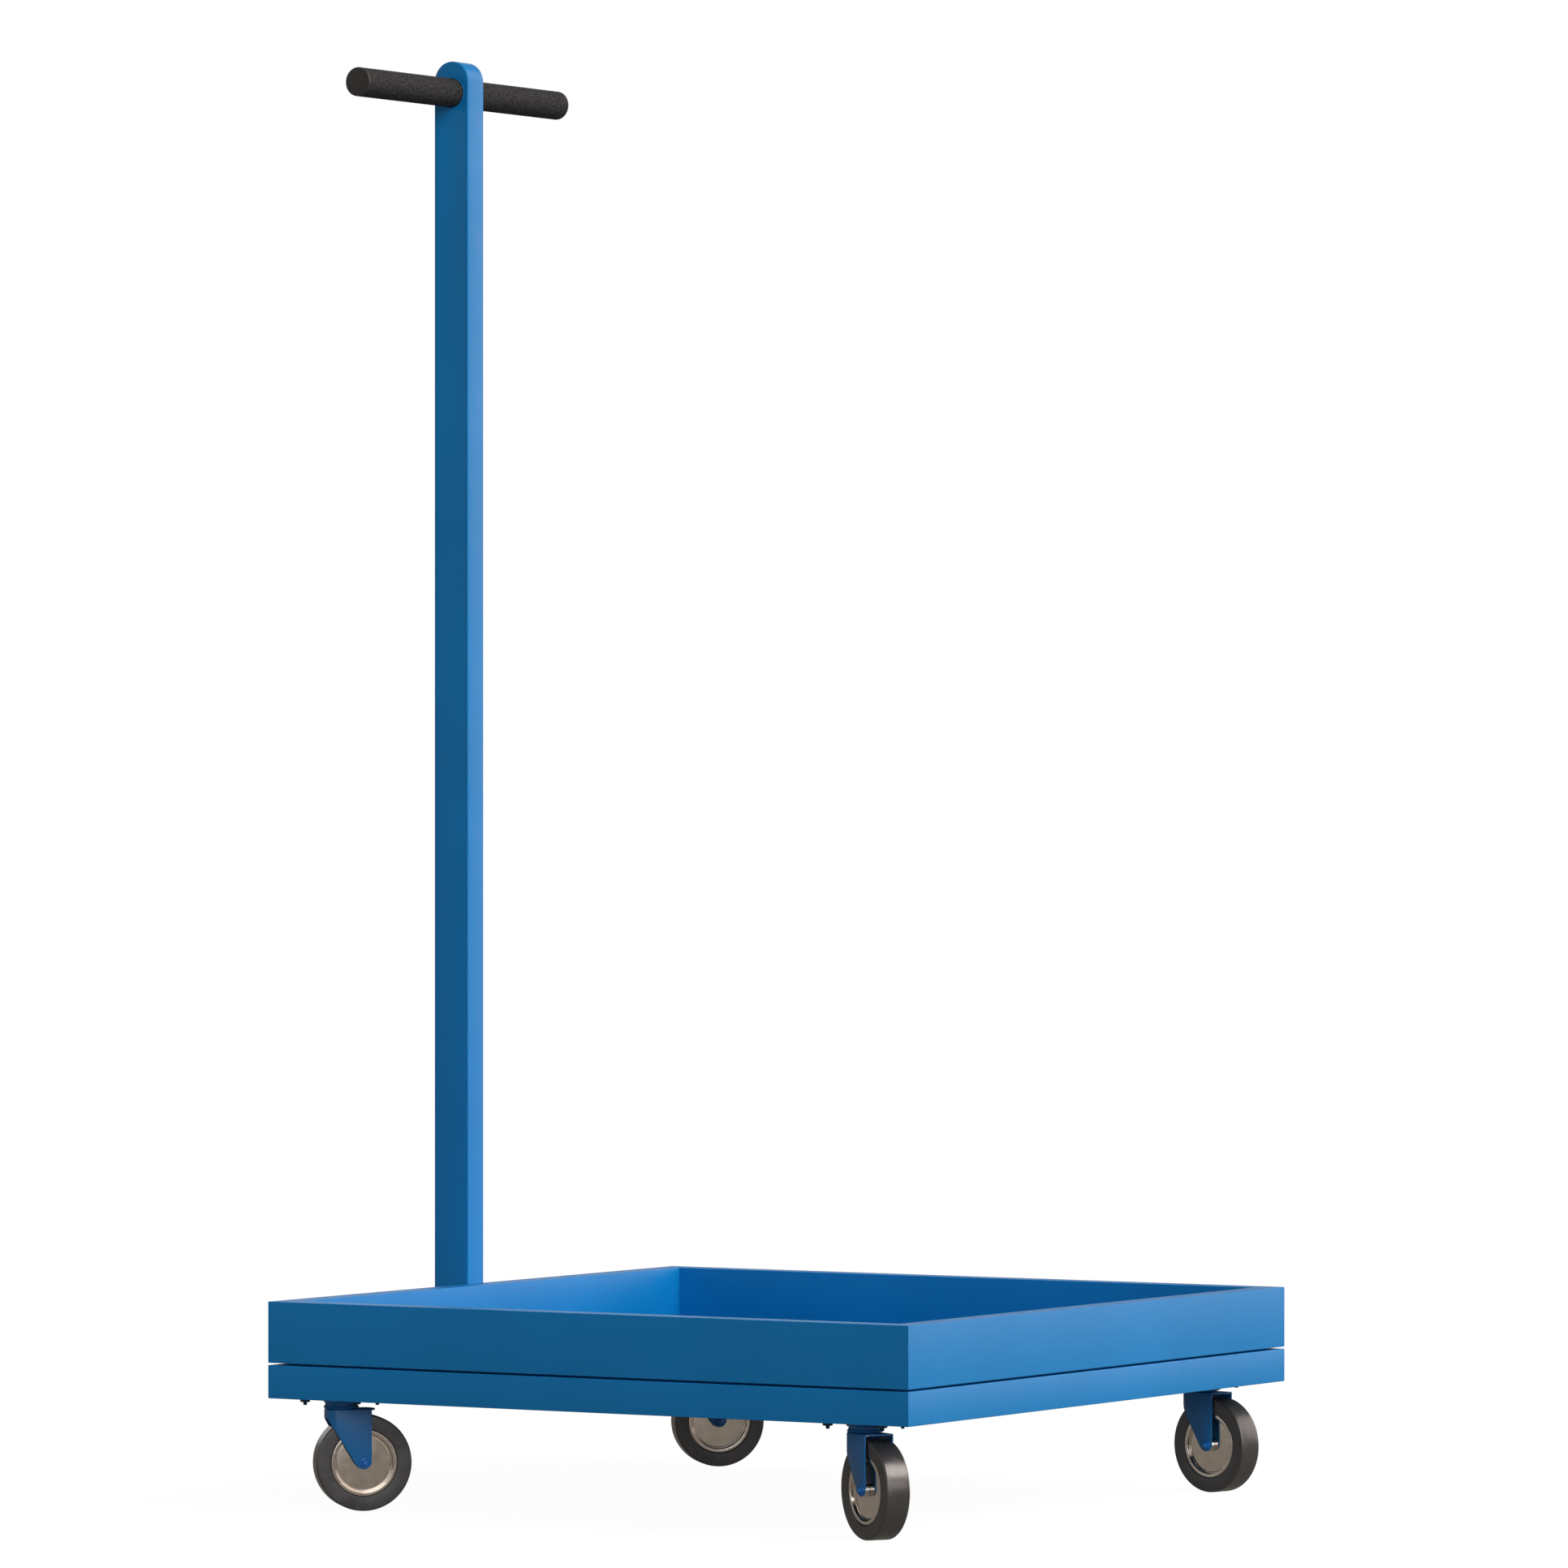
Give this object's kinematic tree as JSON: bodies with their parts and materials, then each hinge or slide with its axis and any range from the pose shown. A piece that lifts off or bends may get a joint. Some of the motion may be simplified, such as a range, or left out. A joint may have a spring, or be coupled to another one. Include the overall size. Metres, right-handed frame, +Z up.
{
  "type": "platform trolley",
  "caption": "Blue steel platform trolley with a square rimmed tray, one upright post with a T-bar handle, and swivel casters with black rubber tyres.",
  "frame": {"origin": "on the floor, under the middle of the whole trolley, with the tray centred across it", "axes": "+X from the handle end to the free end, +Y to the left of someone pushing, +Z up"},
  "size_m": [0.6377, 0.621, 1.188],
  "materials": {
    "blue_paint": "semi-gloss",
    "caster_blue": "semi-gloss",
    "zinc": "bright zinc plate",
    "wheel_disc": "smooth machined",
    "tyre": "matt",
    "grip": "rough textured",
    "plastic": "matt"
  },
  "bodies": {
    "platform": {"deck_sheet": "blue_paint", "rim_rail_right": "blue_paint", "rim_rail_front": "blue_paint", "rim_rail_left": "blue_paint", "rim_rail_rear": "blue_paint", "base_rail_right": "blue_paint", "base_rail_front": "blue_paint", "base_rail_left": "blue_paint", "base_rail_rear": "blue_paint", "post": "blue_paint", "post_foot_plug": "plastic", "post_bolt_upper": "zinc", "post_bolt_lower": "zinc", "handle_core": "zinc", "handle_grip": "grip", "handle_end_cap_right": "plastic", "handle_end_cap_left": "plastic", "corner_plate_rear_right": "blue_paint", "caster_plate_rear_right": "blue_paint", "kingpin_rear_right": "zinc", "corner_plate_front_right": "blue_paint", "caster_plate_front_right": "blue_paint", "kingpin_front_right": "zinc", "corner_plate_front_left": "blue_paint", "caster_plate_front_left": "blue_paint", "kingpin_front_left": "zinc", "corner_plate_rear_left": "blue_paint", "caster_plate_rear_left": "blue_paint", "kingpin_rear_left": "zinc"},
    "swivel_rear_right": {"fork_rear_right": "caster_blue", "axle_rear_right": "blue_paint", "axle_nut_rear_right": "blue_paint", "spacer_left_rear_right": "zinc", "spacer_right_rear_right": "zinc"},
    "wheel_rear_right": {"wheel_disc_rear_right": "wheel_disc", "tyre_rear_right": "tyre"},
    "swivel_front_right": {"fork_front_right": "caster_blue", "axle_front_right": "blue_paint", "axle_nut_front_right": "blue_paint", "spacer_left_front_right": "zinc", "spacer_right_front_right": "zinc"},
    "wheel_front_right": {"wheel_disc_front_right": "wheel_disc", "tyre_front_right": "tyre"},
    "swivel_front_left": {"fork_front_left": "caster_blue", "axle_front_left": "blue_paint", "axle_nut_front_left": "blue_paint", "spacer_left_front_left": "zinc", "spacer_right_front_left": "zinc"},
    "wheel_front_left": {"wheel_disc_front_left": "wheel_disc", "tyre_front_left": "tyre"},
    "swivel_rear_left": {"fork_rear_left": "caster_blue", "axle_rear_left": "blue_paint", "axle_nut_rear_left": "blue_paint", "spacer_left_rear_left": "zinc", "spacer_right_rear_left": "zinc"},
    "wheel_rear_left": {"wheel_disc_rear_left": "wheel_disc", "tyre_rear_left": "tyre"}
  },
  "joints": [
    {"name": "swivel_joint_rear_right", "type": "hinge", "parent": "platform", "child": "swivel_rear_right", "pos_m": [-0.2344, -0.2694, 0.084], "axis": [0, 0, 1], "continuous": true},
    {"name": "wheel_spin_rear_right", "type": "hinge", "parent": "swivel_rear_right", "child": "wheel_rear_right", "pos_m": [-0.22214, -0.25748, 0.0389], "axis": [-0.6972, 0.7169, 0], "continuous": true},
    {"name": "swivel_joint_front_right", "type": "hinge", "parent": "platform", "child": "swivel_front_right", "pos_m": [0.2584, -0.2694, 0.084], "axis": [0, 0, 1], "continuous": true},
    {"name": "wheel_spin_front_right", "type": "hinge", "parent": "swivel_front_right", "child": "wheel_front_right", "pos_m": [0.27301, -0.27828, 0.0389], "axis": [0.5195, 0.8545, 0], "continuous": true},
    {"name": "swivel_joint_front_left", "type": "hinge", "parent": "platform", "child": "swivel_front_left", "pos_m": [0.2584, 0.2694, 0.084], "axis": [0, 0, 1], "continuous": true},
    {"name": "wheel_spin_front_left", "type": "hinge", "parent": "swivel_front_left", "child": "wheel_front_left", "pos_m": [0.275, 0.26529, 0.0389], "axis": [0.2402, 0.9707, 0], "continuous": true},
    {"name": "swivel_joint_rear_left", "type": "hinge", "parent": "platform", "child": "swivel_rear_left", "pos_m": [-0.2344, 0.2694, 0.084], "axis": [0, 0, 1], "continuous": true},
    {"name": "wheel_spin_rear_left", "type": "hinge", "parent": "swivel_rear_left", "child": "wheel_rear_left", "pos_m": [-0.22183, 0.281, 0.0389], "axis": [-0.6782, 0.7349, 0], "continuous": true}
  ]
}
